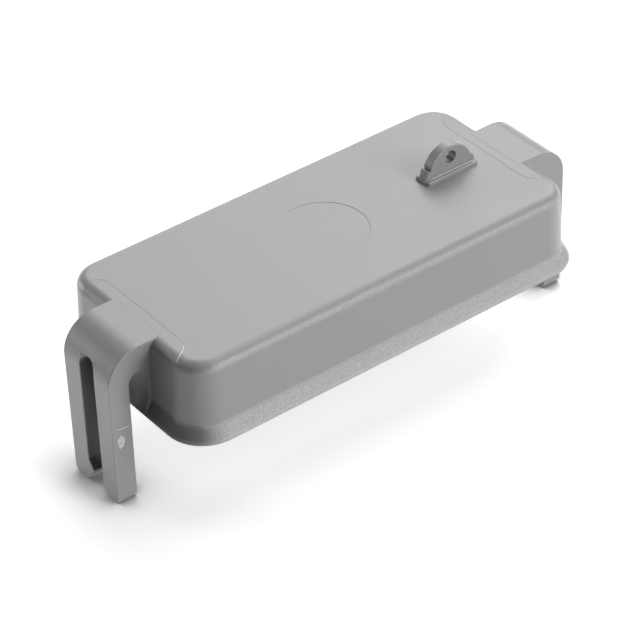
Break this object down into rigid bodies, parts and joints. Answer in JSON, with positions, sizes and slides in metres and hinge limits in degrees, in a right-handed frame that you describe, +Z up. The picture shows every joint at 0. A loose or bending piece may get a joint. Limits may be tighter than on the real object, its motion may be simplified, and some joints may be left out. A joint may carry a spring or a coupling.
{
  "type": "heavy-duty connector protective cover",
  "caption": "Flat plastic cap with a flared rim, forked snap arms at both short ends and a lanyard eye, for closing a rectangular heavy-duty connector housing.",
  "frame": {"origin": "middle of the cover in plan, at the level of the arm tips that it stands on", "axes": "+X along the long side towards the lanyard eye, +Y across the short side, +Z up from the arm tips to the closed top"},
  "size_m": [0.113, 0.0468, 0.0419],
  "materials": {
    "cover_plastic": "fine moulded texture, grainier on the flared rim",
    "seal_rubber": "smooth moulded rubber"
  },
  "bodies": {
    "root": {"cover": "cover_plastic", "rim_seal": "seal_rubber"}
  },
  "joints": []
}
